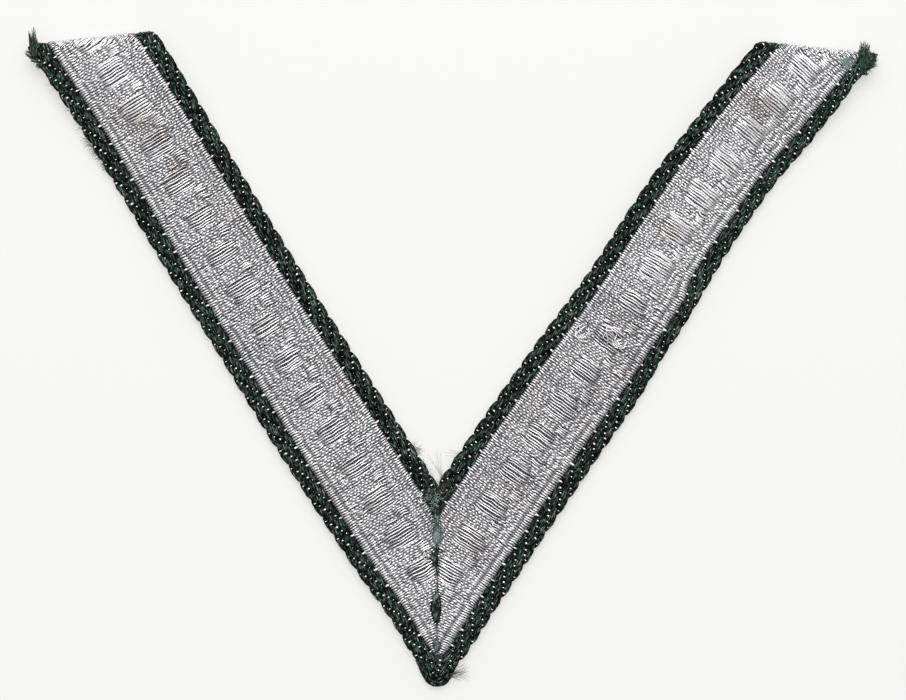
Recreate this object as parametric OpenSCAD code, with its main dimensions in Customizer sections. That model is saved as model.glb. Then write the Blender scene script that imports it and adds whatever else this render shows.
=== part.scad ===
// Rank chevron for a sleeve: two lengths of woven metal-thread tape, each a silver band
// between two corded selvedges, mitred into a V and turned under at both ends.
// It lies on its back on the XY plane, with the point of the V towards -Y. Millimetres.

/* [Tape] */
// Width of the silver band between the two cords
band_w = 9; // [7:0.5:12]
// Thickness of the silver band at its edges
band_t = 1; // [0.8:0.05:1.2]
// Rise of the band's middle above its edges
crown_h = 0.15; // [0:0.05:0.3]
// Width of a selvedge cord
cord_w = 2.1; // [1.6:0.1:3]
// Height of a selvedge cord on the single tape
cord_h = 1.6; // [1.4:0.1:2.2]
// Gap between neighbouring pieces
gap = 0.05; // [0.04:0.01:0.1]

/* [Arms] */
// Length of the left arm along its middle, from the mitre to the fold
left_l = 74; // [60:1:110]
// Length of the right arm along its middle, from the mitre to the fold
right_l = 75.5; // [60:1:110]
// Lean of both arms away from upright, where they meet, in degrees
mitre_lean = 32.6; // [28:0.2:42]
// Slope of both turned ends, rising towards the middle of the V, in degrees
end_slope = 6; // [0:1:15]

/* [Turned ends] */
// Length of tape turned under at each end
hem_l = 4.5; // [3:0.5:7]
// Height of a cord where two layers of tape lie on each other
hem_cord_h = 1.2; // [1:0.1:1.4]
// Length over which the tape climbs on to its own turned end
climb_l = 9; // [6:1:14]

/* [Mitre] */
// Distance from the seam over which the band is drawn down by its stitches
dip_l = 1.6; // [1:0.2:3]
// How far the point is drawn back from a sharp mitre
blunt_h = 1.4; // [0:0.1:2]
// Length of the outer cords over which the point is rounded
blunt_l = 16; // [8:1:20]

/* [Frayed ends] */
// Length of the longest lock of frayed cord
fray_l = 2.5; // [1.5:0.1:4]
// Thickness of a lock at its root
fray_d = 0.5; // [0.4:0.05:0.7]

/* [Hidden] */

// Columns of a sweep table: share of the arm's length, turn away from the mitre's lean
// in degrees, width as a share of the whole tape, lift of the inner edge as such a share
ALONG = 0;
TURN = 1;
WIDTH = 2;
LIFT = 3;
left_sweep = [
    [0.0,  0.0, 1.00, 0],
    [0.2, -0.1, 1.00, 0],
    [0.4,  0.0, 0.99, 0],
    [0.6, -1.1, 0.99, 0],
    [0.8, -2.1, 0.99, 0],
    [1.0,  0.7, 0.99, 0]
];
right_sweep = [
    [0.0,  0.0, 1.00, 0.00],
    [0.2,  1.7, 1.00, 0.00],
    [0.4,  3.0, 0.99, 0.01],
    [0.6, -1.5, 0.92, 0.07],
    [0.8,  5.0, 0.88, 0.08],
    [1.0,  8.8, 0.89, 0.00]
];

// Columns of an arm: which side of the seam it is on, its length, its sweep table
SIDE = 0;
REACH = 1;
SWEEP = 2;
left_arm = [-1, left_l, left_sweep];
right_arm = [1, right_l, right_sweep];

// Columns of a fray table: heading of a lock in degrees from +X away from the seam,
// its climb in degrees, its length as a share of the longest, its bend in degrees
HEADING = 0;
CLIMB = 1;
LONG = 2;
BEND = 3;
left_locks = [
    [ 84, 14, 1.00,  16],
    [ 60, 24, 0.80,  -8],
    [108, 30, 0.60,  10],
    [ 30, 10, 0.55, -10],
    [  5,  4, 0.50,   8]
];
right_locks = [
    [100, 14, 1.00,  -6],
    [ 80, 22, 0.98, -10],
    [ 58,  8, 0.92,  -8],
    [ 36, 18, 0.80, -10],
    [ 12,  8, 0.60,  -8]
];

// Distance from the tape's middle to the middle of a cord, and to the tape's edge
cord_v = band_w / 2 + gap + cord_w / 2;
edge_v = cord_v + cord_w / 2;

// Heights of the tape's mid-plane: on the single tape, in the layer turned under, on top
flat_z = cord_h / 2;
layer_pitch = max(hem_cord_h, band_t) + 2 * gap;
under_z = hem_cord_h / 2;
over_z = under_z + layer_pitch;
fold_r = layer_pitch / 2;

// How far the band is drawn down at the seam, which leaves it clear of the ground
dip_h = max(0, (cord_h - band_t) / 2 - gap);

// Rings along a piece: closest at the seam, even on the climb, round the fold, in the hem
SPAN_RINGS = 20;
SPAN_CLOSENESS = 1.7;
CLIMB_RINGS = 6;
HEM_RINGS = 3;
FOLD_RINGS = 6;
TRAIL_STEPS = 80;
NEWTON_STEPS = 6;

// One column of a sweep table at a share t of the arm, eased from row to row
function ease(t) = t * t * (3 - 2 * t);
function held(t, low, high) = min(max(t, low), high);
function row_before(table, t, i = 0) =
    i >= len(table) - 2 || table[i + 1][ALONG] > t ? i : row_before(table, t, i + 1);
function column(table, c, t) =
    let (
        share = held(t, 0, 1),
        i = row_before(table, share),
        a = table[i],
        b = table[i + 1],
        part = (share - a[ALONG]) / (b[ALONG] - a[ALONG])
    )
    a[c] + (b[c] - a[c]) * ease(part);

// Lean of an arm at a length s along its middle, and the unit steps along and outwards
function lean(arm, s) = mitre_lean + column(arm[SWEEP], TURN, s / arm[REACH]);
function along(arm, s) = [arm[SIDE] * sin(lean(arm, s)), cos(lean(arm, s))];
function outwards(arm, s) = [arm[SIDE] * cos(lean(arm, s)), -sin(lean(arm, s))];

// The arm's middle line, added up in short steps from the mitre at the origin
function trail(arm) =
    let (step = arm[REACH] / TRAIL_STEPS)
    [
        for (i = 0, p = [0, 0]; i <= TRAIL_STEPS; p = p + step * along(arm, (i + 0.5) * step), i = i + 1)
            p
    ];
left_trail = trail(left_arm);
right_trail = trail(right_arm);
function middle(arm, s) =
    let (
        line = arm[SIDE] < 0 ? left_trail : right_trail,
        share = held(s / arm[REACH], 0, 1) * TRAIL_STEPS,
        i = min(floor(share), TRAIL_STEPS - 1),
        past = s - held(s, 0, arm[REACH])
    )
    line[i] + (line[i + 1] - line[i]) * (share - i) + past * along(arm, s);

// How far the outer half of the tape is drawn back at the point, a length d from the seam
function drawn_back(v, d) =
    blunt_h * max(v, 0) / edge_v * pow(held(1 - d / blunt_l, 0, 1), 1.5);

// Plan position of the line v of the tape at length s, where v runs outwards
function plan(arm, s, v) =
    middle(arm, s) + v * column(arm[SWEEP], WIDTH, s / arm[REACH]) * outwards(arm, s);

// Lengths at which the line v meets the seam and the fold, closed in on by Newton's rule
function seam_s(arm, v, s = 0, n = NEWTON_STEPS) =
    n == 0 ? s
    : seam_s(arm, v, s - (arm[SIDE] * plan(arm, s, v).x - gap / 2) / sin(lean(arm, s)), n - 1);
function fold_miss(arm, s, v) =
    let (
        p = plan(arm, s, v),
        end = middle(arm, arm[REACH])
    )
    p.y - end.y - (abs(end.x) - abs(p.x)) * tan(end_slope);
function fold_s(arm, v, s, n = NEWTON_STEPS) =
    n == 0 ? s
    : let (steep = cos(lean(arm, s)) + tan(end_slope) * sin(lean(arm, s)))
      fold_s(arm, v, s - fold_miss(arm, s, v) / steep, n - 1);

// Height of the mid-plane at length s, for a line that folds at length f
function climbed(s, f) = ease(held((s - (f - hem_l - climb_l)) / climb_l, 0, 1));
function mid_z(arm, s, v, f) =
    flat_z + (over_z - flat_z) * climbed(s, f)
    + column(arm[SWEEP], LIFT, s / arm[REACH]) * (edge_v - v);

// A point of the tape: length s on line v, h above the mid-plane, seam at a, fold at f
function on_tape(arm, s, v, h, a, f) =
    let (p = plan(arm, s, v))
    [p.x, p.y + drawn_back(v, s - a), mid_z(arm, s, v, f) + h];

// The same, round the fold by an angle, and then under the tape by a length
function on_fold(arm, v, h, f, angle) =
    let (p = plan(arm, f, v) + (fold_r + h) * sin(angle) * along(arm, f))
    [p.x, p.y, under_z + fold_r + (fold_r + h) * cos(angle)];
function on_hem(arm, v, h, f, under) =
    let (p = plan(arm, f - under, v))
    [p.x, p.y, under_z - h];

// All stations of a piece, from the seam to the end of the hem: a kind and a share
ON_SPAN = 0;
ON_CLIMB = 1;
ON_TOP = 2;
ON_FOLD = 3;
ON_HEM = 4;
stations = [
    for (i = [0 : SPAN_RINGS]) [ON_SPAN, pow(i / SPAN_RINGS, SPAN_CLOSENESS)],
    for (i = [1 : CLIMB_RINGS]) [ON_CLIMB, i / CLIMB_RINGS],
    for (i = [1 : HEM_RINGS]) [ON_TOP, i / HEM_RINGS],
    for (i = [1 : FOLD_RINGS]) [ON_FOLD, i / FOLD_RINGS],
    for (i = [1 : HEM_RINGS]) [ON_HEM, i / HEM_RINGS]
];

// One ring point: a profile point is [v, h on the single tape, h in the hem]
function ring_point(arm, station, q) =
    let (
        v = q[0],
        a = seam_s(arm, v),
        f = fold_s(arm, v, arm[REACH]),
        kind = station[0],
        share = station[1],
        climb_s = f - hem_l - climb_l,
        s = kind == ON_SPAN ? a + (climb_s - a) * share
            : kind == ON_CLIMB ? climb_s + climb_l * share
            : f - hem_l + hem_l * share,
        h = q[1] + (q[2] - q[1]) * climbed(s, f),
        down = abs(v) < band_w / 2 + gap / 2 ? dip_h * pow(max(0, 1 - (s - a) / dip_l), 2) : 0
    )
    kind == ON_FOLD ? on_fold(arm, v, q[2], f, 180 * share)
    : kind == ON_HEM ? on_hem(arm, v, q[2], f, hem_l * share)
    : on_tape(arm, s, v, h, a, f) - [0, 0, down];

// A closed sweep of a profile along all stations, with flat ends
function sweep_points(arm, profile) =
    [for (station = stations) for (q = profile) ring_point(arm, station, q)];
function sweep_faces(sides, rings, turned) =
    let (
        walls = [
            for (r = [0 : rings - 2]) for (i = [0 : sides - 1])
                let (
                    j = (i + 1) % sides,
                    a = r * sides + i,
                    b = r * sides + j
                )
                each [[a, b, b + sides], [a, b + sides, a + sides]]
        ],
        first = [for (i = [sides - 1 : -1 : 0]) i],
        last = [for (i = [0 : sides - 1]) (rings - 1) * sides + i],
        all = [each walls, first, last]
    )
    turned ? [for (f = all) [for (i = [len(f) - 1 : -1 : 0]) f[i]]] : all;

// Profile of a cord, flat where it lies and on its back: shares of half its width, height
CORD_OUTLINE = [
    [1, 0], [0.88, 0.55], [0.62, 0.86], [0.3, 1], [-0.3, 1], [-0.62, 0.86],
    [-0.88, 0.55], [-1, 0], [-0.88, -0.55], [-0.62, -0.86], [-0.3, -1], [0.3, -1],
    [0.62, -0.86], [0.88, -0.55]
];
function cord_profile(centre) = [
    for (p = CORD_OUTLINE)
        [centre + p.x * cord_w / 2, p.y * cord_h / 2, p.y * hem_cord_h / 2]
];

// Profile of the band: a flat back and a crowned face
BAND_COLUMNS = 8;
function crown(share) = crown_h * (1 - share * share);
band_profile = [
    for (i = [0 : BAND_COLUMNS])
        let (share = 1 - 2 * i / BAND_COLUMNS)
        [share * band_w / 2, band_t / 2 + crown(share), band_t / 2],
    for (i = [0 : BAND_COLUMNS])
        let (share = 2 * i / BAND_COLUMNS - 1)
        [share * band_w / 2, -band_t / 2, -band_t / 2]
];

// Locks of frayed cord: a root just past the outer cord's fold, and curved tapers
LOCK_JOINTS = 4;
LOCK_TIP = 0.25;
function root(arm) =
    let (
        f = fold_s(arm, cord_v, arm[REACH]),
        p = plan(arm, f, cord_v) + (fold_r + hem_cord_h / 2 + gap + fray_d / 2) * along(arm, f)
    )
    [p.x, p.y, under_z + fold_r];
function lock_spot(arm, row, share) =
    let (
        turn = row[HEADING] + row[BEND] * share,
        reach = fray_l * row[LONG] * share,
        level = reach * cos(row[CLIMB])
    )
    root(arm) + [arm[SIDE] * level * cos(turn), level * sin(turn), reach * sin(row[CLIMB])];
function lock_d(share) = fray_d * (1 - (1 - LOCK_TIP) * share * share);

// Points of every tape piece, which place the origin under the middle of the whole
left_outer_points = sweep_points(left_arm, cord_profile(cord_v));
left_inner_points = sweep_points(left_arm, cord_profile(-cord_v));
right_outer_points = sweep_points(right_arm, cord_profile(cord_v));
right_inner_points = sweep_points(right_arm, cord_profile(-cord_v));
lock_tips = [
    for (row = left_locks) lock_spot(left_arm, row, 1),
    for (row = right_locks) lock_spot(right_arm, row, 1)
];
tip_reach = [lock_d(1) / 2, lock_d(1) / 2, 0];
outline_points = concat(
    left_outer_points, left_inner_points, right_outer_points, right_inner_points,
    [for (p = lock_tips) p - tip_reach],
    [for (p = lock_tips) p + tip_reach]
);
function middle_of(list) = (min(list) + max(list)) / 2;
whole_x = middle_of([for (p = outline_points) p.x]);
whole_y = middle_of([for (p = outline_points) p.y]);

module placed() {
    translate([-whole_x, -whole_y, 0]) children();
}

module tape_piece(arm, points, sides) {
    placed()
        polyhedron(points, sweep_faces(sides, len(stations), arm[SIDE] < 0), convexity = 6);
}

module band(arm) {
    color("silver")
        tape_piece(arm, sweep_points(arm, band_profile), len(band_profile));
}

module cord(arm, points) {
    color([0.08, 0.2, 0.16])
        tape_piece(arm, points, len(CORD_OUTLINE));
}

module lock(arm, row) {
    for (i = [1 : LOCK_JOINTS])
        hull()
            for (share = [(i - 1) / LOCK_JOINTS, i / LOCK_JOINTS])
                translate(lock_spot(arm, row, share))
                    sphere(d = lock_d(share), $fn = 8);
}

module fray(arm, locks) {
    color([0.1, 0.26, 0.2])
        placed()
            for (row = locks)
                lock(arm, row);
}

module left_band() {
    band(left_arm);
}

module right_band() {
    band(right_arm);
}

module left_outer_cord() {
    cord(left_arm, left_outer_points);
}

module left_inner_cord() {
    cord(left_arm, left_inner_points);
}

module right_outer_cord() {
    cord(right_arm, right_outer_points);
}

module right_inner_cord() {
    cord(right_arm, right_inner_points);
}

module left_fray() {
    fray(left_arm, left_locks);
}

module right_fray() {
    fray(right_arm, right_locks);
}

left_band();
right_band();
left_outer_cord();
left_inner_cord();
right_outer_cord();
right_inner_cord();
left_fray();
right_fray();
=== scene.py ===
import math

import bpy
import numpy as np
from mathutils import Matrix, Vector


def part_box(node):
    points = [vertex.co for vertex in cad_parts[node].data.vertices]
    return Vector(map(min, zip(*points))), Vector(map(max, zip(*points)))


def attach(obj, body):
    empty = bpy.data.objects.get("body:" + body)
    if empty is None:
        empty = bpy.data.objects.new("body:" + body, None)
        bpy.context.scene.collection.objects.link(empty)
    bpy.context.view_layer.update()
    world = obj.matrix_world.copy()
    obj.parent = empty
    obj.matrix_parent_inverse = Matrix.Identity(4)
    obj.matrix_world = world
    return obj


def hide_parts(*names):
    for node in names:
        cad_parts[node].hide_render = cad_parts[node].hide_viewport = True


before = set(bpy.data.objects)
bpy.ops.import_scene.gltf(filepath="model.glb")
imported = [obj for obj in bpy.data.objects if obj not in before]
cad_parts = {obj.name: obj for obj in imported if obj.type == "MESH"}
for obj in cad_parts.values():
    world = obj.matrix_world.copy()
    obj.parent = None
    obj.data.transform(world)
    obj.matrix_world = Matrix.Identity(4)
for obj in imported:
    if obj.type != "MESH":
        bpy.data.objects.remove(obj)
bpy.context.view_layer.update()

RNG = np.random.default_rng(11)

# Lengths below are in millimetres, and MM turns them into metres
MM = 0.001

# The tape, as in the part's source
BAND_W = 9.0
BAND_T = 1.0
CROWN_H = 0.15
CORD_W = 2.1
CORD_H = 1.6
GAP = 0.05
MITRE_LEAN = 32.6
END_SLOPE = 6.0
HEM_L = 4.5
HEM_CORD_H = 1.2
CLIMB_L = 9.0
DIP_L = 1.6
BLUNT_H = 1.4
BLUNT_L = 16.0
BLUNT_POWER = 1.5
# Over how much of the tape's width the band's dip at the seam fades out towards a cord
DIP_EDGE = 0.6

# What follows from those sizes
HALF_BAND = BAND_W / 2
CORD_V = HALF_BAND + GAP + CORD_W / 2
EDGE_V = CORD_V + CORD_W / 2
FLAT_Z = CORD_H / 2
LAYER_PITCH = max(HEM_CORD_H, BAND_T) + 2 * GAP
UNDER_Z = HEM_CORD_H / 2
OVER_Z = UNDER_Z + LAYER_PITCH
FOLD_R = LAYER_PITCH / 2
FOLD_LEN = math.pi * FOLD_R
DIP_H = (CORD_H - BAND_T) / 2 - GAP

# Columns of a sweep table: share of the arm's length, turn from the mitre's lean in
# degrees, width as a share of the tape, lift of the inner edge as such a share
ALONG, TURN, WIDTH, LIFT = range(4)
LEFT_SWEEP = np.array([
    [0.0, 0.0, 1.00, 0.00],
    [0.2, -0.1, 1.00, 0.00],
    [0.4, 0.0, 0.99, 0.00],
    [0.6, -1.1, 0.99, 0.00],
    [0.8, -2.1, 0.99, 0.00],
    [1.0, 0.7, 0.99, 0.00],
])
RIGHT_SWEEP = np.array([
    [0.0, 0.0, 1.00, 0.00],
    [0.2, 1.7, 1.00, 0.00],
    [0.4, 3.0, 0.99, 0.01],
    [0.6, -1.5, 0.92, 0.07],
    [0.8, 5.0, 0.88, 0.08],
    [1.0, 8.8, 0.89, 0.00],
])

# Where a cord's two borders stray from the tape's lines: how far along the arm, then how far
# outwards the border on the silver strays and how far the free edge does
PLACE, BORDER, FREE_EDGE = range(3)
STRAYS = {
    ("left", 1): np.array([
        [-7.0, 0.00, 0.00], [-4.5, 0.10, 0.05], [-2.0, -0.10, -0.22], [2.0, -0.22, -0.34],
        [7.5, 0.00, -0.10], [25.0, 0.03, 0.13], [36.0, -0.08, -0.10], [74.0, -0.12, 0.00],
    ]),
    ("left", -1): np.array([[10.0, 0.00, 0.00], [30.0, 0.05, 0.08], [60.0, 0.02, 0.02]]),
    ("right", 1): np.array([
        [-10.0, 0.00, 0.00], [-5.5, 0.50, 0.45], [-1.5, 0.30, 0.32], [1.5, 0.05, 0.16],
        [31.0, 0.17, 0.13], [37.0, 0.20, -0.20], [40.5, 0.45, 0.05], [43.6, 0.64, 0.13],
        [45.4, -0.06, 0.10], [50.0, 0.00, 0.10], [55.0, 0.27, 0.18], [61.5, 0.00, 0.04],
        [67.0, 0.38, 0.32], [73.0, 0.05, 0.02], [76.5, 0.00, -0.45],
    ]),
    ("right", -1): np.array([
        [12.0, 0.05, 0.05], [45.0, -0.08, 0.00], [51.0, -0.30, -0.06], [57.0, -0.10, 0.04],
        [66.0, -0.14, 0.00], [72.0, -0.36, 0.00],
    ]),
}
# Lines of the tape inside this one don't stray
STRAY_FROM = 2.4

UP = np.array([0.0, 0.0, 1.0])
# Added to directions so that none has no length
TINY = 1e-12

# The weave: the sizes of each kind of yarn
WEFT_W = 0.235
WEFT_H = 0.24
WEFT_SIDES = 5
BINDERS = 36
BINDER_PITCH = BAND_W / BINDERS
MID_BINDER = (BINDERS - 1) / 2
BINDER_D = 0.08
BINDER_SIDES = 4
# How far under the face a weft dips under its binders, and how far the ground lies
DIP_DEPTH = 0.17
GROUND_DEPTH = 0.38
# The wefts in one repeat of the lozenges, and in one of the dips of a cord's yarn
REPEAT = 16
SELVEDGE_REPEAT = 8


def stray(size, shape=None):
    """Random strays from 0, mostly smaller than size."""
    return RNG.normal(0, size, shape)


def ease(share):
    """From 0 to 1 with a soft start and end; a share beyond either stays there."""
    share = np.clip(share, 0, 1)
    return share * share * (3 - 2 * share)


def unit(vectors):
    return vectors / np.linalg.norm(vectors, axis=-1, keepdims=True)


class Arm:
    """One arm of the V: it turns a length, a line of the tape and a height into a place."""

    STEPS = 240
    NEWTON_STEPS = 8

    def __init__(self, name, side, length, sweep, weft_pitch, figure_start, upper_from):
        self.name = name
        self.side = side
        self.length = length
        self.sweep = sweep
        self.weft_pitch = weft_pitch
        self.figure_start = figure_start
        self.upper_from = upper_from
        step = length / self.STEPS
        middles = (np.arange(self.STEPS) + 0.5) * step
        moves = self.along(middles) * step
        self.trail = np.vstack([np.zeros(2), np.cumsum(moves, axis=0)])
        self.lines = np.linspace(-EDGE_V - 1, EDGE_V + 1, 161)
        self.seams = self._meet(self._seam_miss, np.zeros_like(self.lines))
        self.folds = self._meet(self._fold_miss, np.full_like(self.lines, length))
        self.origin = np.zeros(2)

    def column(self, c, s):
        share = np.clip(np.asarray(s, float) / self.length, 0, 1)
        rows = self.sweep[:, ALONG]
        i = np.clip(np.searchsorted(rows, share, side="right") - 1, 0, len(rows) - 2)
        part = (share - rows[i]) / (rows[i + 1] - rows[i])
        low = self.sweep[i, c]
        return low + (self.sweep[i + 1, c] - low) * ease(part)

    def lean(self, s):
        return np.radians(MITRE_LEAN + self.column(TURN, s))

    def along(self, s):
        lean = self.lean(s)
        return np.stack([self.side * np.sin(lean), np.cos(lean)], axis=-1)

    def outwards(self, s):
        lean = self.lean(s)
        return np.stack([self.side * np.cos(lean), -np.sin(lean)], axis=-1)

    def middle(self, s):
        s = np.asarray(s, float)
        within = np.clip(s, 0, self.length)
        place = within / self.length * self.STEPS
        i = np.minimum(np.floor(place).astype(int), self.STEPS - 1)
        part = (place - i)[..., None]
        on_line = self.trail[i] * (1 - part) + self.trail[i + 1] * part
        return on_line + (s - within)[..., None] * self.along(s)

    def strayed(self, s, v):
        """The line of the tape that v is drawn to at s, where the cords' borders stray."""
        far = np.abs(v)
        out = v
        for sign in (1, -1):
            rows = STRAYS[self.name, sign]
            border = np.interp(s, rows[:, PLACE], rows[:, BORDER])
            edge = np.interp(s, rows[:, PLACE], rows[:, FREE_EDGE])
            within = ease((far - STRAY_FROM) / (HALF_BAND - STRAY_FROM))
            across = np.clip((far - HALF_BAND) / (EDGE_V - HALF_BAND), 0, 1)
            stray = border * within * (1 - across) + edge * across
            out = np.where(sign * v > 0, v + sign * stray, out)
        return out

    def plan(self, s, v):
        width = self.column(WIDTH, s)
        return self.middle(s) + (self.strayed(s, v) * width)[..., None] * self.outwards(s)

    def _seam_miss(self, s):
        return self.side * self.plan(s, self.lines)[:, 0] - GAP / 2, np.sin(self.lean(s))

    def _fold_miss(self, s):
        spot = self.plan(s, self.lines)
        end = self.middle(self.length)
        slope = math.tan(math.radians(END_SLOPE))
        miss = spot[:, 1] - end[1] - (abs(end[0]) - np.abs(spot[:, 0])) * slope
        return miss, np.cos(self.lean(s)) + slope * np.sin(self.lean(s))

    def _meet(self, miss_of, s):
        for _ in range(self.NEWTON_STEPS):
            miss, steepness = miss_of(s)
            s = s - miss / steepness
        return s

    def weft_at(self, n):
        """How far along the arm weft number n lies; weft 0 is the middle of a lozenge."""
        return self.figure_start + n * self.weft_pitch

    def seam_at(self, v):
        return np.interp(v, self.lines, self.seams)

    def fold_at(self, v):
        return np.interp(v, self.lines, self.folds)

    def end_at(self, v):
        """Where the tape ends, turned under."""
        return self.fold_at(v) + FOLD_LEN + HEM_L

    def first_line(self, s):
        """The innermost line that the cross line at s still reaches."""
        at_seam = np.interp(-s, -self.seams, self.lines)
        past = FOLD_LEN + HEM_L
        at_end = np.interp(s, self.folds + past, self.lines)
        return max(at_seam, at_end if s > self.folds[0] + past else -math.inf)

    def climbed(self, s, v):
        return ease((s - (self.fold_at(v) - HEM_L - CLIMB_L)) / CLIMB_L)

    def place(self, s, v, h):
        """Points, and the tape's upward direction there, h above the tape's mid-plane."""
        s, v, h = np.broadcast_arrays(*(np.asarray(x, float) for x in (s, v, h)))
        fold = self.fold_at(v)
        seam = self.seam_at(v)
        past = s - fold
        on_span = np.minimum(s, fold)
        spot = self.plan(on_span, v)
        from_seam = on_span - seam
        near_seam = np.clip(1 - from_seam / BLUNT_L, 0, 1)
        back = BLUNT_H * np.maximum(v, 0) / EDGE_V * near_seam ** BLUNT_POWER
        inside = (HALF_BAND + DIP_EDGE / 2 - np.abs(v)) / DIP_EDGE
        drawn = DIP_H * np.clip(1 - from_seam / DIP_L, 0, 1) ** 2 * ease(inside)
        z = FLAT_Z + (OVER_Z - FLAT_Z) * self.climbed(on_span, v) + h - drawn
        z = z + self.column(LIFT, on_span) * (EDGE_V - v)
        points = np.concatenate([spot, z[..., None]], axis=-1)
        points[..., 1] += back
        ups = np.zeros_like(points)
        ups[..., 2] = 1
        turned = past > 0
        if turned.any():
            angle = np.clip(past / FOLD_R, 0, math.pi)[..., None]
            along = self.along(fold)
            reach = FOLD_R + h[..., None]
            under = np.maximum(past - FOLD_LEN, 0)
            base = self.plan(fold - under, v)
            flat = base + np.where(angle < math.pi, reach * np.sin(angle), 0) * along
            level = UNDER_Z + FOLD_R + reach * np.cos(angle)
            folded = np.concatenate([flat, level], axis=-1)
            folded_up = np.concatenate([np.sin(angle) * along, np.cos(angle)], axis=-1)
            points[turned] = folded[turned]
            ups[turned] = folded_up[turned]
        points[..., :2] += self.origin
        return points, ups

    def on_face(self, s, v, lift):
        """As place, but lift is measured from the crowned face of the silver band."""
        crown = CROWN_H * np.maximum(1 - (v / HALF_BAND) ** 2, 0)
        return self.place(s, v, BAND_T / 2 + crown * (1 - self.climbed(s, v)) + lift)

    def in_cord(self, s, v, h):
        """As place, but h shrinks with the cord where two layers lie on each other."""
        squeeze = 1 - (1 - HEM_CORD_H / CORD_H) * self.climbed(s, v)
        return self.place(s, v, h * squeeze)


def seated(arm):
    """Moves an arm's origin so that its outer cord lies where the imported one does."""
    low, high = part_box(f"{arm.name}_outer_cord")
    seam_x = (low.x if arm.side > 0 else high.x) / MM - arm.side * GAP / 2
    tip, _ = arm.place(arm.seam_at(EDGE_V), EDGE_V, 0)
    arm.origin = np.array([seam_x, low.y / MM - tip[1]])
    return arm


LEFT = seated(Arm("left", -1, 74.0, LEFT_SWEEP, weft_pitch=0.2995, figure_start=3.21, upper_from=58.0))
RIGHT = seated(Arm("right", 1, 75.5, RIGHT_SWEEP, weft_pitch=0.2918, figure_start=2.47, upper_from=38.0))
ARMS = (LEFT, RIGHT)
MITRE = LEFT.origin


def travelled(path):
    """How far along a path each of its points lies."""
    return np.concatenate([[0], np.cumsum(np.linalg.norm(np.diff(path, axis=0), axis=1))])


def tube_faces(first, count, sides):
    """The faces round a tube of count rings, and its two caps; first is its first point."""
    ring = first + np.arange(count - 1)[:, None] * sides
    i = np.arange(sides)
    j = (i + 1) % sides
    quads = np.stack([ring + i, ring + j, ring + j + sides, ring + i + sides], axis=-1)
    return quads.reshape(-1, 4), [first + i[::-1], first + (count - 1) * sides + i]


def shown(name, data, place=(0, 0, 0)):
    """An object in the scene, made of a mesh, a light or a camera."""
    piece = bpy.data.objects.new(name, data)
    piece.location = place
    bpy.context.scene.collection.objects.link(piece)
    return piece


def mesh_piece(name, points, quads, caps, material, **values):
    """A smooth-shaded object from points in millimetres, with one number list per name."""
    loops = np.concatenate([quads.ravel(), *caps])
    sizes = np.concatenate([np.full(len(quads), 4), [len(cap) for cap in caps]])
    starts = np.concatenate([[0], np.cumsum(sizes)[:-1]])
    mesh = bpy.data.meshes.new(name)
    mesh.vertices.add(len(points))
    mesh.vertices.foreach_set("co", (np.asarray(points) * MM).ravel())
    mesh.loops.add(len(loops))
    mesh.loops.foreach_set("vertex_index", np.asarray(loops, np.int32))
    mesh.polygons.add(len(starts))
    mesh.polygons.foreach_set("loop_start", np.asarray(starts, np.int32))
    mesh.update(calc_edges=True)
    mesh.validate()
    mesh.polygons.foreach_set("use_smooth", np.ones(len(mesh.polygons), bool))
    for key, value in values.items():
        layer = mesh.attributes.new(key, "FLOAT", "POINT")
        layer.data.foreach_set("value", np.asarray(value, np.float32))
    mesh.materials.append(material)
    return shown(name, mesh)


def swept_piece(name, rings, material, **values):
    """A closed solid through rings of equal size, given as an array [ring, point, xyz]."""
    quads, caps = tube_faces(0, *rings.shape[:2])
    return mesh_piece(name, rings.reshape(-1, 3), quads, caps, material, **values)


class Yarns:
    """Gathers closed tubes along many paths and makes one mesh of them."""

    def __init__(self):
        self.tubes = []
        self.caps = []
        self.count = 0

    def add(self, path, ups, width, height, sides, strand=None, open_air=1.0):
        """One tube: width, height and how much it lies in the open are numbers or point values."""
        count = len(path)
        if count < 2:
            return
        width = np.broadcast_to(np.asarray(width, float), count)[:, None, None] / 2
        height = np.broadcast_to(np.asarray(height, float), count)[:, None, None] / 2
        heading = unit(np.gradient(path, axis=0) + TINY)
        across = unit(np.cross(ups, heading) + TINY)
        up = np.cross(heading, across)
        angle = math.pi / 2 + 2 * math.pi * np.arange(sides) / sides
        ring = across[:, None] * np.cos(angle)[:, None] * width
        ring = ring + up[:, None] * np.sin(angle)[:, None] * height
        quads, caps = tube_faces(self.count, count, sides)
        along = np.repeat(travelled(path) + 100 * RNG.random(), sides)
        open_air = np.broadcast_to(np.asarray(open_air, float), count)[:, None]
        # Painted light and shade: 1 on the tube's top, down to 0 underneath, times how much it lies in the
        # open
        crest = (0.5 + 0.5 * np.sin(angle)) * open_air
        strand = np.full(count * sides, RNG.random() if strand is None else strand)
        self.tubes.append(((path[:, None] + ring).reshape(-1, 3), quads, strand, crest.ravel(), along))
        self.caps += caps
        self.count += count * sides

    def piece(self, name, material):
        points, quads, strand, crest, along = (np.concatenate(part) for part in zip(*self.tubes))
        return mesh_piece(
            name, points, quads, self.caps, material, strand=strand, crest=crest, along=along,
        )


# Materials

def rgba(colour, share=1):
    return (*(c * share for c in colour), 1)


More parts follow.
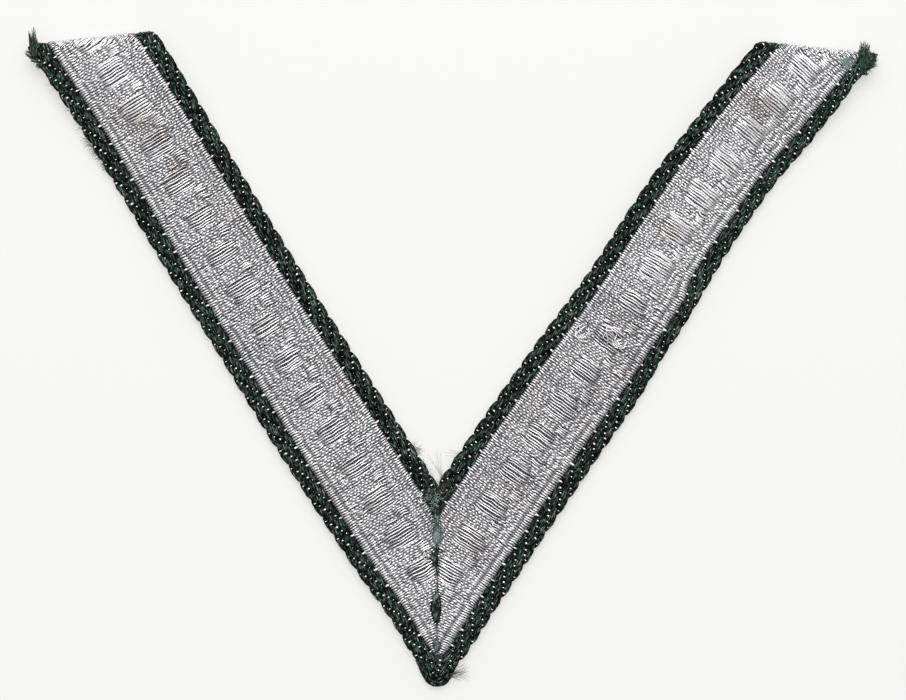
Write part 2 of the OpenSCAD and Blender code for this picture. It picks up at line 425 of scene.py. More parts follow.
class Look:
    """A material, with short ways to add nodes. What a yarn's mesh says about each point
    drives it: strand, the yarn's tone; the light and shade painted on it, 1 on its open top and
    less down its sides and where it lies deep; along, a length in mm."""

    def __init__(self, name):
        self.material = bpy.data.materials.new(name)
        self.material.use_nodes = True
        self.tree = self.material.node_tree
        self.shader = self.tree.nodes["Principled BSDF"]

    def feed(self, socket, value):
        if isinstance(value, bpy.types.NodeSocket):
            self.tree.links.new(value, socket)
        else:
            socket.default_value = value

    def fill(self, node, **settings):
        """Sets a node's inputs, named with _ for a space, and its properties."""
        for key, value in settings.items():
            socket = node.inputs.get(key.replace("_", " "))
            if socket is None:
                setattr(node, key, value)
            else:
                self.feed(socket, value)
        return node

    def node(self, kind, **settings):
        return self.fill(self.tree.nodes.new("ShaderNode" + kind), **settings)

    def shade(self, **settings):
        self.fill(self.shader, **settings)
        return self.material

    def carried(self, name):
        """A value that the mesh carries at each point."""
        return self.node("Attribute", attribute_name=name).outputs["Fac"]

    def scaled(self, name, factor):
        node = self.node("Math", operation="MULTIPLY")
        self.feed(node.inputs[0], self.carried(name))
        self.feed(node.inputs[1], factor)
        return node.outputs["Value"]

    def here(self):
        return self.node("TexCoord").outputs["Object"]

    def noise(self, scale, detail=2.0):
        """Noise with features of about 1/scale metres."""
        return self.node("TexNoise", Vector=self.here(), Scale=scale, Detail=detail).outputs["Fac"]

    def streaks(self, per_mm, across):
        """Noise drawn out along each yarn, with features about 1/per_mm millimetres long."""
        place = self.node(
            "CombineXYZ", X=self.scaled("along", per_mm), Y=self.scaled("strand", STRAND_SPREAD),
            Z=self.scaled("crest", across),
        )
        texture = self.node("TexNoise", Vector=place.outputs["Vector"], Scale=1.0, Detail=2.0)
        return texture.outputs["Fac"]

    def spot(self, arm, s, v, radius):
        """A soft round patch on the tape: 1 in its middle, and 0 from radius outwards."""
        centre, _ = arm.place(s, v, 0)
        mapping = self.node(
            "Mapping", vector_type="TEXTURE", Vector=self.here(),
            Location=(centre[0] * MM, centre[1] * MM, 0), Scale=(radius * MM, radius * MM, 1),
        )
        texture = self.node("TexGradient", gradient_type="SPHERICAL", Vector=mapping.outputs["Vector"])
        return texture.outputs["Fac"]

    def ramp(self, source, *stops):
        """A value turned into a colour, by stops of a value and its colour."""
        node = self.node("ValToRGB", Fac=source)
        band = node.color_ramp
        while len(band.elements) < len(stops):
            band.elements.new(0.5)
        for element, (place, color) in zip(band.elements, stops):
            element.position = place
            element.color = rgba(color)
        return node.outputs["Color"]

    def mixed(self, first, second, amount, how="MULTIPLY"):
        """Two colours mixed; either one and the amount may be a socket."""
        node = self.node("Mix", data_type="RGBA", blend_type=how)
        for place, value in ((0, amount), (6, first), (7, second)):
            self.feed(node.inputs[place], value)
        return node.outputs[2]

    def bumped(self, height, strength, distance):
        bump = self.node("Bump", Height=height, Strength=strength, Distance=distance)
        self.shade(Normal=bump.outputs["Normal"])


# How far apart the strands' streaks are taken from the noise
STRAND_SPREAD = 40.0
WHITE = (1, 1, 1)
# Brownish patches on the silver: arm, how far along it, line of the tape, radius
STAINS = (
    (LEFT, 63.7, 0.8, 1.7), (LEFT, 61.0, -0.6, 1.9), (LEFT, 57.0, -0.5, 1.8), (RIGHT, 66.9, -1.3, 2.2),
    (RIGHT, 49.2, -1.3, 2.0),
)
STAIN = rgba((0.70, 0.64, 0.60))


def silver_material():
    """Metal foil wound round a cotton core: bright, finely broken up, a little tarnished, with painted
    shade down its threads' sides and in their dips.
    """
    look = Look("silver_thread")
    tone = look.ramp(
        look.carried("strand"), (0.0, (0.80, 0.80, 0.81)), (0.4, (0.95, 0.95, 0.96)), (1.0, WHITE),
    )
    fine = look.noise(5200, 1.0)
    fleck = look.ramp(fine, (0.32, (0.55, 0.55, 0.58)), (0.50, WHITE))
    tone = look.mixed(tone, fleck, 0.8)
    tarnish = look.ramp(look.noise(170, 4.0), (0.45, WHITE), (0.75, (0.82, 0.78, 0.75)))
    tone = look.mixed(tone, tarnish, 0.6)
    patches = look.ramp(look.noise(420, 3.0), (0.40, (1.12, 1.11, 1.11)), (0.68, (0.86, 0.85, 0.89)))
    tone = look.mixed(tone, patches, 0.8)
    for stain in STAINS:
        tone = look.mixed(tone, STAIN, look.spot(*stain))
    # Painted shade: each thread darker down its sides and underneath, and where it dips or turns under
    painted_shading = look.ramp(
        look.carried("crest"), (0.22, (0.03, 0.028, 0.032)), (0.46, (0.22, 0.215, 0.23)), (0.68, WHITE),
    )
    rough = look.node("MapRange", Value=fine, To_Min=0.25, To_Max=0.45)
    look.bumped(look.noise(9000), 0.5, 0.00003)
    return look.shade(
        Base_Color=look.mixed(tone, painted_shading, 1.0), Metallic=0.80, Roughness=rough.outputs["Result"],
    )


def binder_material():
    """Thin grey cotton warps that bind the silver down."""
    look = Look("binder_thread")
    tone = look.ramp(look.noise(4000), (0.3, (0.10, 0.10, 0.105)), (0.7, (0.34, 0.335, 0.35)))
    return look.shade(Base_Color=tone, Roughness=0.7)


def ground_material():
    """The dim ground under the floats, with a close weave in its relief."""
    look = Look("tape_ground")
    tone = look.ramp(look.noise(3000, 3.0), (0.3, (0.020, 0.020, 0.022)), (0.7, (0.075, 0.073, 0.080)))
    ribs = look.node("TexWave", Vector=look.here(), Scale=1050.0, Distortion=1.0)
    look.bumped(ribs.outputs["Fac"], 0.6, 0.0001)
    return look.shade(Base_Color=tone, Roughness=0.85)


def green_material(name, dark, middle, light):
    """Dyed fibre yarn: fine streaks along each strand, painted shade where strands meet and down their
    sides, and painted highlights on their tops.
    """
    look = Look(name)
    tone = look.ramp(look.carried("strand"), (0.0, dark), (0.7, middle), (1.0, light))
    # Streaks along the fibres: their streaky dye, with painted sheen in the lighter ones
    fibres = look.streaks(2.2, across=0.9)
    streaks_and_sheen = look.ramp(fibres, (0.40, dark), (0.50, middle), (0.64, light))
    tone = look.mixed(tone, streaks_and_sheen, 0.8, "MIX")
    patches = look.ramp(look.noise(520), (0.35, (0.55, 0.55, 0.55)), (0.65, (1.25, 1.25, 1.25)))
    tone = look.mixed(tone, patches, 1.0)
    # Painted shade and highlight: strands dark down their sides and in their dips, lighter than their tone
    # on their tops
    painted_shading = look.ramp(
        look.carried("crest"), (0.38, (0.015, 0.02, 0.018)), (0.64, (0.33, 0.35, 0.34)),
        (0.92, (1.15, 1.15, 1.15)),
    )
    look.bumped(look.streaks(3.0, across=7.0), 0.6, 0.00006)
    return look.shade(Base_Color=look.mixed(tone, painted_shading, 1.0), Roughness=0.5, Specular_IOR_Level=0.03)


SILVER = silver_material()
BINDER = binder_material()
GROUND = ground_material()
GREEN = green_material("green_cord", (0.003, 0.009, 0.0065), (0.030, 0.058, 0.046), (0.225, 0.315, 0.270))
# The cords' cores are near black: painted shade that shows between the yarns
CORE_SHADE = green_material("cord_core_shade", (0.001, 0.002, 0.0015), (0.002, 0.004, 0.003), (0.004, 0.008, 0.006))
FRAY = green_material("green_fray", (0.006, 0.018, 0.011), (0.036, 0.080, 0.056), (0.160, 0.260, 0.200))
THREAD = green_material("seam_thread", (0.008, 0.016, 0.013), (0.036, 0.062, 0.053), (0.160, 0.215, 0.190))
HAZE = green_material("pale_fuzz", (0.16, 0.29, 0.26), (0.37, 0.53, 0.49), (0.66, 0.80, 0.76))
HAIR = green_material("grey_hair", (0.05, 0.045, 0.04), (0.13, 0.12, 0.105), (0.26, 0.24, 0.21))


# The silver band

# The lozenges of each arm: from how far along it, then their middles' shift in wefts, half
# their count of wefts and the lines of the tape where their long floats end
FROM, SHIFT, HALF, LOW_END, HIGH_END = range(5)
LOZENGES = {
    "left": ((-20.0, -1, 4.3, -1.75, 1.9), (58.0, -1, 4.6, -1.9, 1.9)),
    "right": ((-20.0, 0, 4.4, -1.9, 1.75), (45.0, 3, 5.0, -2.1, 2.2)),
}
# How much shorter the floats get towards the sides of a lozenge, a weft, and the share of it
# at their inner ends
TAPER = 0.22
LOW_TAPER = 0.4
# The smaller figure half-way between them, towards one edge: half its count of wefts, and
# the lines where its floats end, on the left arm
SPUR_HALF = 2.6
SPUR_ENDS = (-2.3, -0.75)
# How far the figures stray: along the arm in wefts, and a spur across it in binders
STEP_STRAY = 0.35
SPUR_STRAY = 0.5
# From which binder outwards, counted from the tape's middle, the edge stripes run
STRIPES_FROM = 10
# Binders that part the edge stripes, from the tape's middle outwards, for even and for odd
# wefts: at the inner edge and at the outer one
STRIPES = (((10, 12, 14), (11, 12, 15)), ((10, 14), (11, 14)))
# How often a parting of the stripes slips to either side, how often a weft of the ground goes
# over a binder instead of under it or the other way, and how often an odd weft keeps step
# with the even ones
STRIPE_SLIP = 0.08
SLIP = 0.12
OUT_OF_STEP = 0.30
# Floats from here on are long; shorter ones slant by SLANT a millimetre, inwards of
# SLANT_TURNS by BACK_SLANT of that
LONG_FLOAT = 1.45
SLANT = 0.06
SLANT_SPREAD = 0.4
SLANT_TURNS = -2.5
BACK_SLANT = -0.4
# How far a long float bows along the arm at most, how unevenly, and how far a weft's points
# stray across the tape
BULGE = 0.09
UNEVEN = 0.027
LINE_JITTER = 0.036
# How far from its binders a float lies free, in binders, and the points of a float
SHOULDER = 0.42
SHORT_POINTS = 3
LONG_POINTS = 6
# Lift over the face and share of the width, at the ends and in the middle of a float: for one
# over a single binder, and for the longer ones at the band's edges
SHORT_FLOAT = 0.62
SHORT_LIFT = (-0.075, 0.02)
SHORT_FAT = (0.80, 1.10)
EDGE_LIFT = (-0.06, 0.02)
EDGE_FAT = (0.86, 0.98)
DIP_FAT = 0.70
# The lift of a long float at its ends, and its rise from there to its middle: what every one
# rises, what a millimetre of its length adds, and the most
LONG_LIFT = -0.04
LONG_RISE = (0.02, 0.03, 0.06)
# How deep a weft's ends are tucked into the cords, and its share of the width there; then,
# for its two first points at the seam and at the inner cord, how far from its start they lie
# and how deep
TUCKED = -0.42
TUCKED_FAT = 0.9
SEAM_START = ((0.02, TUCKED), (0.10, -0.12))
CORD_START = ((-0.22, TUCKED), (-0.08, -0.16))
# How far past the band's edge a weft's last dip and its very end lie, from EDGE_LINE
EDGE_LINE = HALF_BAND + 0.02
PAST_EDGE = (0.08, 0.22)
# The shortest weft that is laid, and the shortest float that one begins with
LEAST_WEFT = 0.25
LEAST_FLOAT = 0.3
# How much a weft lies in the open at the face, the depth over which that fades, and the least
# This openness is painted shade: a weft darker where it dips under the face
OPEN_AT_FACE = 1.37
OPEN_FADE = 0.19
LEAST_OPEN = 0.15
# Waves that the wefts lie in: height, and radians a millimetre across the tape and along it
WAVES = ((0.030, 3.3, 1.3), (0.026, 5.6, -2.2), (0.018, 8.7, 3.1))
# Each weft's own wave: height, and range of radians a millimetre across the tape
OWN_WAVE = 0.014
OWN_TURNS = (0.8, 1.8)
# The range of a weft's width from point to point, and how far its height strays
WEFT_SPREAD = (0.84, 1.10)
LIFT_JITTER = 0.012
# Shares of the width that the long floats keep, low on the arm and farther up it, the length
# over which that changes, and how much more painted light the wefts get farther up
THIN_FLOAT = 0.86
UPPER_W = 1.02
UPPER_OVER = 8.0
UPPER_AIR = 0.07
# Ranges of how much the long floats, low on the arm and farther up it, the outermost rows and
# the others lie in the open, which sets their painted light; the outermost rows begin at line EDGE_ROW
LOWER_FLOAT_LIGHT = (0.67, 0.92)
UPPER_FLOAT_LIGHT = (0.94, 1.25)
EDGE_ROW_LIGHT = (0.70, 1.0)
ANY_FLOAT = (0.80, 1.44)
EDGE_ROW = 3.75
# What the wefts shrink to, in width and in the open, where the tape turns under
# The second is painted shade on the fold
TURNED_W = 0.78
TURNED_AIR = 0.70
# How the wefts' rows wander along the arm: what is kept of the last stray, and the new part
WANDER_KEPT = 0.8
WANDER = 0.014
# Lift of a binder over a weft and under one
BINDER_LIFTS = (-0.09, -WEFT_H - 0.03)


def binder_line(j):
    """The line of the tape that a binder lies on; binders are numbered from the inner edge."""
    return (j - MID_BINDER) * BINDER_PITCH


def bare(under, low, high):
    """Leaves the weft free between two lines of the tape, and bound down at both."""
    first = round(low / BINDER_PITCH + MID_BINDER)
    last = round(high / BINDER_PITCH + MID_BINDER)
    under[first - 1:last + 2] = False
    under[[first, last]] = True


def draft(arm, n):
    """For weft number n, whether it goes under each binder."""
    from_middle = np.arange(BINDERS) - MID_BINDER
    ring = np.abs(from_middle)
    in_step = n % 2 and RNG.random() > OUT_OF_STEP
    under = (np.arange(BINDERS) + in_step) % 2 == 0
    edge = ring > STRIPES_FROM
    for side, stripes in zip((-1, 1), STRIPES):
        lines = np.array(stripes[n % 2])
        slips = RNG.choice((-1, 0, 1), len(lines), p=(STRIPE_SLIP, 1 - 2 * STRIPE_SLIP, STRIPE_SLIP))
        here = edge & (from_middle * side > 0)
        under[here] = np.isin(ring[here] - 0.5, lines + slips)
    under ^= (RNG.random(BINDERS) < SLIP) & ~edge
    lozenge = [row for row in LOZENGES[arm.name] if arm.weft_at(n) >= row[FROM]][-1]
    step = (n - lozenge[SHIFT] + REPEAT // 2) % REPEAT - REPEAT // 2
    step += stray(STEP_STRAY)
    if abs(step) < lozenge[HALF]:
        drawn_in = TAPER * max(abs(step) - lozenge[HALF] + 2, 0)
        slip = RNG.choice((-1, 0, 0, 1), 2) * BINDER_PITCH
        low = lozenge[LOW_END] + slip[0] + LOW_TAPER * drawn_in
        bare(under, low, lozenge[HIGH_END] + slip[1] - drawn_in)
    elif abs(step) > REPEAT / 2 - SPUR_HALF:
        ends = np.array(SPUR_ENDS) + stray(SPUR_STRAY) * BINDER_PITCH
        bare(under, *(ends if arm is LEFT else -ends[::-1]))
    return under


def weft_numbers(arm):
    first = math.ceil((arm.seam_at(EDGE_V) - arm.figure_start) / arm.weft_pitch)
    end = arm.folds.max() + FOLD_LEN + HEM_L
    return range(first, math.floor((end - arm.figure_start) / arm.weft_pitch))


def float_path(n, low, high):
    """Lines, lifts, drifts and fatness of weft n over one float from line low to line high."""
    span = high - low
    middle = (low + high) / 2
    shoulder = SHOULDER * BINDER_PITCH
    points = SHORT_POINTS if span < LONG_FLOAT else LONG_POINTS
    inner = np.linspace(low + shoulder, high - shoulder, points)
    across = (inner - middle) / (span / 2)
    arch = 1 - across ** 2
    if span < LONG_FLOAT:
        slant = SLANT * (1 + stray(SLANT_SPREAD)) * (inner - middle)
        lifts, fats = (SHORT_LIFT, SHORT_FAT) if span < SHORT_FLOAT else (EDGE_LIFT, EDGE_FAT)
        lift = lifts[0] + (lifts[1] - lifts[0]) * arch
        fat = fats[0] + (fats[1] - fats[0]) * arch
        return inner, lift, slant * (1 if middle > SLANT_TURNS else BACK_SLANT), fat
    side = math.sin(2 * math.pi * n / REPEAT)
    least, growth, most = LONG_RISE
    lift = LONG_LIFT + min(least + growth * span, most) * arch
    return inner, lift, (BULGE * side + stray(UNEVEN)) * arch, np.ones(points)


def weft_path(arm, n, under):
    """Lines, lifts, drifts and fatness of one weft across the band, or nothing past its ends."""
    start = arm.first_line(arm.weft_at(n))
    if start > HALF_BAND - LEAST_WEFT:
        return None
    low, beginning = (start, SEAM_START) if start > -HALF_BAND else (-EDGE_LINE, CORD_START)
    rows = [(low + step, lift, 0.0, TUCKED_FAT) for step, lift in beginning]
    ends = [binder_line(j) for j in np.flatnonzero(under)]
    for end in [at for at in ends if at > low + LEAST_FLOAT] + [EDGE_LINE]:
        rows += zip(*float_path(n, low, end))
        rows.append((end, -DIP_DEPTH, 0.0, DIP_FAT))
        low = end
    rows[-1] = (low + PAST_EDGE[0], -DIP_DEPTH, 0.0, DIP_FAT)
    rows.append((low + PAST_EDGE[1], TUCKED, 0.0, TUCKED_FAT))
    return np.array(rows).T.copy()


def add_weft(wefts, arm, number, under, wander):
    """Lays one weft; half numbers are the extra ones that fill in round the fold."""
    path = weft_path(arm, number, under)
    if path is None:
        return
    lines, lifts, drifts, fats = path
    count = len(lines)
    at = arm.weft_at(number)
    lines[2:-2] += stray(LINE_JITTER, count - 4)
    bend = OWN_WAVE * np.sin(lines * RNG.uniform(*OWN_TURNS) + RNG.uniform(0, 6.28))
    for height, across, down in WAVES:
        bend = bend + height * np.sin(across * lines + down * at)
    s = at + wander + bend + drifts
    long = float_lengths(lines, lifts) > LONG_FLOAT
    # Painted shade: darker where the weft dips under the face
    open_air = np.clip(OPEN_AT_FACE + lifts / OPEN_FADE, LEAST_OPEN, 1)
    lifts = lifts - WEFT_H / 2 + stray(LIFT_JITTER, count)
    points, ups = arm.on_face(s, lines, lifts)
    width = WEFT_W * fats * RNG.uniform(*WEFT_SPREAD, count)
    # Farther up the arm the wefts are wider and lighter, in tone and in painted light
    upper_share = ease((at - arm.upper_from) / UPPER_OVER)
    width = width * np.where(long, THIN_FLOAT + (UPPER_W - THIN_FLOAT) * upper_share, 1)
    dull = RNG.uniform(*LOWER_FLOAT_LIGHT) * (1 - upper_share) + RNG.uniform(*UPPER_FLOAT_LIGHT) * upper_share
    open_air = open_air * np.where(long, dull, 1) + UPPER_AIR * upper_share
    at_edge, elsewhere = RNG.uniform(*EDGE_ROW_LIGHT, count), RNG.uniform(*ANY_FLOAT, count)
    open_air = open_air * np.where(np.abs(lines) > EDGE_ROW, at_edge, elsewhere)
    strand = 0.65 * RNG.random() + 0.35 * upper_share
    past = s - arm.fold_at(lines)
    width = np.where(past > 0, TURNED_W, 1) * width
    open_air = np.where(past > 0, TURNED_AIR, 1) * open_air
    kept = np.ones(count, bool)
    if number != math.floor(number):
        kept = (past > -0.1) & (past < FOLD_LEN)
    points, ups, width, open_air = points[kept], ups[kept], width[kept], open_air[kept]
    wefts.add(points, ups, width, WEFT_H, WEFT_SIDES, strand, open_air)


def float_lengths(lines, lifts):
    """For each point of a weft, the length of the float that it is in, 0 in a dip."""
    dips = np.flatnonzero(lifts < -0.8 * DIP_DEPTH)
    lengths = np.zeros(len(lines))
    for low, high in zip(dips[:-1], dips[1:]):
        lengths[low + 1:high] = lines[high] - lines[low]
    return lengths


def silver_pieces(arm):
    """Wefts across the band, and the thin binders that hold them down."""
    wefts = Yarns()
    drafts = {}
    wander = 0.0
    for n in weft_numbers(arm):
        drafts[n] = draft(arm, n)
        wander = WANDER_KEPT * wander + stray(WANDER)
        add_weft(wefts, arm, n, drafts[n], wander)
        if arm.weft_at(n) > arm.folds.min():
            add_weft(wefts, arm, n + 0.5, drafts[n], wander)
    binders = Yarns()
    steps = np.array(list(drafts))
    for j in range(BINDERS):
        v = binder_line(j)
        s = arm.weft_at(steps)
        kept = (s > arm.seam_at(v) + 0.1) & (s < arm.end_at(v))
        over = np.array([drafts[n][j] for n in steps])
        points, ups = arm.on_face(s[kept], v, np.where(over, *BINDER_LIFTS)[kept])
        binders.add(points, ups, BINDER_D * 1.2, BINDER_D, BINDER_SIDES)
    return wefts, binders


def ring_places(arm, v, off_seam, count, crowding, fold_count):
    """Places along the arm of a body's rings: crowded at the seam, round the fold, in the hem."""
    seam = arm.seam_at(v) + off_seam
    fold = arm.fold_at(v)
    rings = [seam + (fold - seam) * share for share in np.linspace(0, 1, count) ** crowding]
    rings += [fold + FOLD_LEN * share for share in np.linspace(0, 1, fold_count)[1:]]
    rings += [fold + FOLD_LEN + HEM_L * share for share in np.linspace(0, 1, 6)[1:]]
    return np.array(rings)


# The ground's outline: how far it stays inside the cords' edges, its lines, and its depth
# under the tape's mid-plane in the cords
GROUND_INSET = 0.45
GROUND_LINES = 25
GROUND_IN_CORD = -0.25


def ground_piece(arm, material):
    """The woven ground across the whole tape, carried round the fold into the hem."""
    lines = np.linspace(EDGE_V - GROUND_INSET, -EDGE_V + GROUND_INSET, GROUND_LINES)
    inside = np.abs(lines) < HALF_BAND
    crown = CROWN_H * np.maximum(1 - (lines / HALF_BAND) ** 2, 0)
    top = np.where(inside, BAND_T / 2 - GROUND_DEPTH + crown, 0.0)
    bottom = np.where(inside, -BAND_T / 2, GROUND_IN_CORD)
    v = np.concatenate([lines, lines[::-1]])
    h = np.concatenate([top, bottom[::-1]])
    points, _ = arm.place(ring_places(arm, v, 0.05, 60, 1.5, 11), v, h)
    if arm.side > 0:
        points = points[:, ::-1]
    return swept_piece(f"{arm.name}_ground", points, material)


# The corded selvedges

SIGN = {"outer": 1, "inner": -1}
# How far each yarn of a cord lies from the tape's free edge, the free edge's yarn first
FACE_YARNS = (0.30, 0.61, 0.92, 1.23, 1.54, 1.84)
# The yarns that lie lower: shares of the cord's half width and half height from its middle
# towards the free edge, and the number that gives the place of their dips in the repeat
LOW_YARNS = (
    (0.99, 0.12, -1), (-1.0, 0.30, 5), (0.94, -0.50, -1),
    (0.6, -0.86, -1), (0.1, -0.95, 2), (-0.5, -0.9, 5),
)
TICK_YARN = 5
# The weft that makes the ticks, counted from the middle of a lozenge, and the wefts from one
# yarn's dips to the next one's
TICK_WEFT = 1
YARN_SHIFT = 2
YARNS_HALF_W = CORD_W / 2 - 0.06
YARNS_HALF_H = CORD_H / 2 - 0.05
YARN_W = 0.37
YARN_H = 0.34
SUB_YARNS = 3
TWIST_LEN = 3.1
# How far the strands of a yarn lie from its middle, and how thick they are
TWIST_R = 0.27
STRAND_FAT = 0.56
# The power of a cord's rounded outline, and how deep its yarns dip
ROUND = 2.5
YARN_DIP = 0.27
# How a yarn swells between its dips: the power of the swelling, its thickness in a dip and
# what the swelling adds, and how far it spreads sideways
SWELL_POWER = 0.42
YARN_FAT = (0.42, 0.70)
SPREAD_OUT = 0.24
# How unevenly the yarns and their strands lie, the range of the yarns' tones, and how far the
# strands' tones stray from them
YARN_JITTER = 0.012
STRAND_JITTER = 0.010
YARN_TONES = (0.1, 0.7)
TONE_STRAY = 0.25
# How far a yarn strays sideways over one repeat: all one way, or neighbours to and fro
LEAN = 0.07
PLAIT = 0.22
# Where a yarn is placed over one repeat of its dips, 0 being the middle of a dip
FLOAT_STEPS = np.array([0.0, 0.06, 0.14, 0.28, 0.50, 0.72, 0.86, 0.94])


def cord_top(x):
    return (1 - np.abs(x) ** ROUND) ** (1 / ROUND)


def cord_places():
    """Shares across and up of each yarn of a cord, and its number."""
    half = CORD_W / 2
    for j, inset in enumerate(FACE_YARNS):
        x = (half - inset) / half
        yield x, cord_top(x * 0.97), j
    yield from LOW_YARNS


def dips(arm, j):
    """The length of a repeat, and how far along the arm one dip of yarn j lies."""
    steps = YARN_SHIFT * (TICK_YARN - min(j, TICK_YARN))
    return SELVEDGE_REPEAT * arm.weft_pitch, arm.weft_at(-arm.side * (TICK_WEFT + steps))


def float_places(arm, v, j):
    """Places along the arm of one yarn's points, and each one's share of its repeat."""
    start = arm.seam_at(v) + 0.03
    end = arm.end_at(v)
    repeat, first = dips(arm, j)
    turns = np.arange(math.floor((start - first) / repeat), math.ceil((end - first) / repeat))
    s = (first + (turns[:, None] + FLOAT_STEPS) * repeat).ravel()
    s = np.concatenate([[start], s[(s > start + 0.02) & (s < end - 0.02)], [end]])
    return s, ((s - first) / repeat) % 1


def cord_yarns(arm, where):
    """One cord's green yarns, which swell between the wefts that they dip under."""
    sign = SIGN[where]
    plaited = arm is LEFT and where == "inner"
    yarns = Yarns()
    for x, y, j in cord_places():
        v = sign * (CORD_V + YARNS_HALF_W * x - YARN_W * 0.25 * x * abs(x) ** 3)
        h = YARNS_HALF_H * y - YARN_H / 2 * np.sign(y) * min(abs(y) * 1.4, 1)
        s, phase = float_places(arm, v, j)
        swell = np.abs(np.sin(math.pi * phase)) ** SWELL_POWER
        facing = max(y, 0.0)
        side = x * abs(x)
        sway = PLAIT * (-1) ** j if plaited else LEAN * arm.side * sign
        lines = v + sign * (SPREAD_OUT * (swell - 0.80) * side + sway * (phase - 0.5) * (1 - side))
        heights = h - YARN_DIP * (1 - swell) * max(facing, 0.3) + stray(YARN_JITTER, len(s))
        fat = YARN_FAT[0] + YARN_FAT[1] * swell
        first_turn = RNG.uniform(0, 2 * math.pi)
        tone = RNG.uniform(*YARN_TONES)
        for k in range(SUB_YARNS):
            turn = first_turn + 2 * math.pi * (k / SUB_YARNS + s / TWIST_LEN)
            ring = TWIST_R * fat
            points, ups = arm.in_cord(
                s,
                lines + YARN_W * ring * np.cos(turn) + stray(STRAND_JITTER, len(s)),
                heights + YARN_H * ring * np.sin(turn) + stray(STRAND_JITTER, len(s)),
            )
            strand = np.clip(tone + stray(TONE_STRAY), 0, 1)
            thick = STRAND_FAT * fat
            points[:, 2] = np.maximum(points[:, 2], YARN_W * thick / 2)
            # Painted shade: strands darker in the yarn's dips and where they twist underneath
            rise = 0.5 + 0.5 * np.sin(turn)
            open_air = np.clip(0.25 + 0.75 * swell, 0, 1) * (0.55 + 0.45 * rise)
            yarns.add(points, ups, YARN_W * thick, YARN_H * thick, 4, strand, open_air)
    return yarns


# A dot of silver weft, and the tick beside the silver: how far across it reaches and how deep
# it plunges at each point
DOT_REACH = np.array([-0.14, -0.10, 0.0, 0.10, 0.14])
DOT_LIFT = np.array([-0.34, -0.10, 0.0, -0.10, -0.34])
TICK_REACH = np.array([-0.34, -0.26, -0.05, 0.14, 0.20])
TICK_LIFT = np.array([-0.22, -0.06, 0.04, -0.04, -0.34])
# How much of it lies in the open at each point: painted shade that darkens its plunging ends
DOT_AIR = np.array([0.3, 1, 1, 1, 0.3])
DOT_W = 0.235
DOT_H = 0.22
# How far under the yarns' tops a dot's middle lies, how much deeper a small one plunges, and
# the ranges of the sizes of dots and ticks
DOT_SINK = 0.13
SMALL_SINK = 0.20
DOT_SPREAD = (0.62, 1.22)
TICK_SPREAD = (0.75, 1.2)
# How large the dots show over each yarn of a cord, the free edge's first: low on the arm and
# high on it
DOT_SIZES = {
    "left_outer": ((0.62, 0.95, 0.95, 0.88, 0.82), (0.80, 1.00, 0.88, 0.82, 0.70)),
    "left_inner": ((0.66, 1.00, 0.76, 0.60, 0.62), (0.66, 0.95, 0.72, 0.60, 0.68)),
    "right_outer": ((0.68, 0.92, 0.95, 0.92, 0.88), (0.60, 0.94, 0.80, 0.70, 0.62)),
    "right_inner": ((0.66, 0.92, 0.84, 0.90, 0.66), (0.66, 0.92, 0.72, 0.90, 0.64)),
}


def add_dots(wefts, arm, where):
    """Short arcs of silver weft over the green yarns, where those go under."""
    sign = SIGN[where]
    low_sizes, high_sizes = DOT_SIZES[f"{arm.name}_{where}"]
    for j, inset in enumerate(FACE_YARNS):
        v = sign * (EDGE_V - inset)
        top = YARNS_HALF_H * cord_top((CORD_W / 2 - inset) / (CORD_W / 2))
        start, end = arm.seam_at(v) + 0.2, arm.end_at(v) - 0.2
        repeat, first = dips(arm, j)
        places = first + np.arange(math.ceil((start - first) / repeat), (end - first) / repeat) * repeat
        for place in places:
            if j == TICK_YARN:
                size = RNG.uniform(*TICK_SPREAD)
                reach, lift = TICK_REACH * size, TICK_LIFT
            else:
                size = np.interp(place, (0.4 * arm.length, 0.6 * arm.length), (low_sizes[j], high_sizes[j]))
                size *= RNG.uniform(*DOT_SPREAD)
                reach, lift = DOT_REACH * size, DOT_LIFT - SMALL_SINK * (1 - size)
            lift = lift + top - DOT_SINK + stray(0.02)
            s = place + stray(0.04) + 0.1 * reach
            points, ups = arm.in_cord(s, v + reach * sign + stray(0.03), lift)
            air = DOT_AIR * min(0.62 + 0.4 * size, 1)
            wefts.add(points, ups, DOT_W * size, DOT_H, 5, RNG.uniform(0.4, 1.0), air)


# The size of a cord's dark core as a share of the cord, what its height keeps of that, and
# its tone
CORE_SHARE = 0.80
CORE_FLAT = 0.92
CORE_TONE = 0.4


def core_piece(arm, where, material):
    """The body inside a cord, which the yarns lie on, near black as painted shade between them."""
    angle = np.linspace(0, 2 * math.pi, 15)[:-1]
    x = np.sign(np.cos(angle)) * np.abs(np.cos(angle)) ** (2 / ROUND) * CORE_SHARE
    y = np.sign(np.sin(angle)) * np.abs(np.sin(angle)) ** (2 / ROUND) * CORE_SHARE * CORE_FLAT
    v = SIGN[where] * CORD_V + x * CORD_W / 2
    points, _ = arm.in_cord(ring_places(arm, v, 0.02, 70, 1.4, 9), v, y * CORD_H / 2)
    if arm.side < 0:
        points = points[:, ::-1]
    tones = np.full(points[..., 0].size, CORE_TONE)
    return swept_piece(f"{arm.name}_{where}_core", points, material, strand=tones)


# Build every piece of both arms

def root(piece, slot, *nodes):
    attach(piece, "root")
    if nodes:
        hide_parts(*nodes)
    return piece


